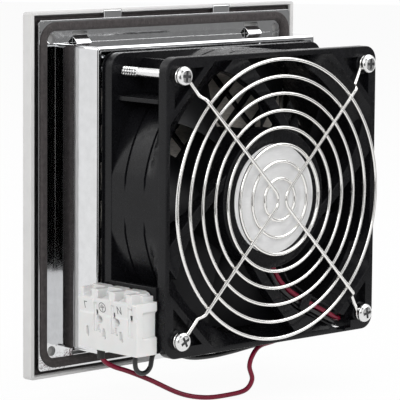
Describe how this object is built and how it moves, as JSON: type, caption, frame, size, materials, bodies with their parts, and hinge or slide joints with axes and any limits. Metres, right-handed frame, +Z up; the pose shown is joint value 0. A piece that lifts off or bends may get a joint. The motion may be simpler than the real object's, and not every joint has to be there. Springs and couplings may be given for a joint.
{
  "type": "cabinet filter fan",
  "caption": "Square cabinet filter fan with a louvred hinged cover, metallised collar frame, gasket, filter mat, axial fan, wire guard and terminal block.",
  "frame": {"origin": "centre of the four corner holes, on the flange's rear face", "axes": "+Y along the fan's axis into the cabinet, +Z up, +X to the side that carries the terminal block"},
  "size_m": [0.15, 0.0746, 0.1577],
  "materials": {
    "metallised": "bright metallised plastic",
    "foam": "matte foam",
    "mat": "fibrous",
    "black_plastic": "satin",
    "brass": "plain",
    "steel": "ground",
    "core_steel": "laminated",
    "cream_plastic": "satin",
    "copper": "enamelled",
    "silver_disc": "satin",
    "bright_wire": "nickel plated",
    "screw_zinc": "zinc plated",
    "white_plastic": "satin",
    "black_rubber": "matte",
    "red_pvc": "smooth",
    "black_pvc": "smooth",
    "grey_plastic": "fine texture"
  },
  "bodies": {
    "base": {"base_frame": "metallised", "gasket": "foam", "filter_mat": "mat", "inner_grid": "black_plastic", "fan_housing": "black_plastic", "bearing_tube": "brass", "front_bearing": "steel", "rear_bearing": "steel", "stator_core": "core_steel", "coil_bobbins": "cream_plastic", "stator_coils": "copper", "hub_disc": "silver_disc", "guard_rings": "bright_wire", "guard_wires": "bright_wire", "guard_screws": "screw_zinc", "terminal_bracket": "black_plastic", "terminal_block": "white_plastic", "terminal_clamps": "steel", "terminal_bars": "brass", "lead_sleeve": "black_rubber", "red_lead": "red_pvc", "black_lead": "black_pvc"},
    "cover": {"front_cover": "grey_plastic", "hinge_pin": "steel"},
    "rotor": {"impeller": "black_plastic", "rotor_ring": "core_steel", "shaft": "steel", "preload_spring": "steel", "retaining_clip": "steel"}
  },
  "joints": [
    {"name": "rotor_spin", "type": "hinge", "parent": "base", "child": "rotor", "pos_m": [0, 0.045, 0], "axis": [0, 1, 0], "continuous": true},
    {"name": "cover_swing", "type": "hinge", "parent": "base", "child": "cover", "pos_m": [0, -0.0015, -0.07355], "axis": [1, 0, 0], "range_deg": [0, 90]}
  ]
}
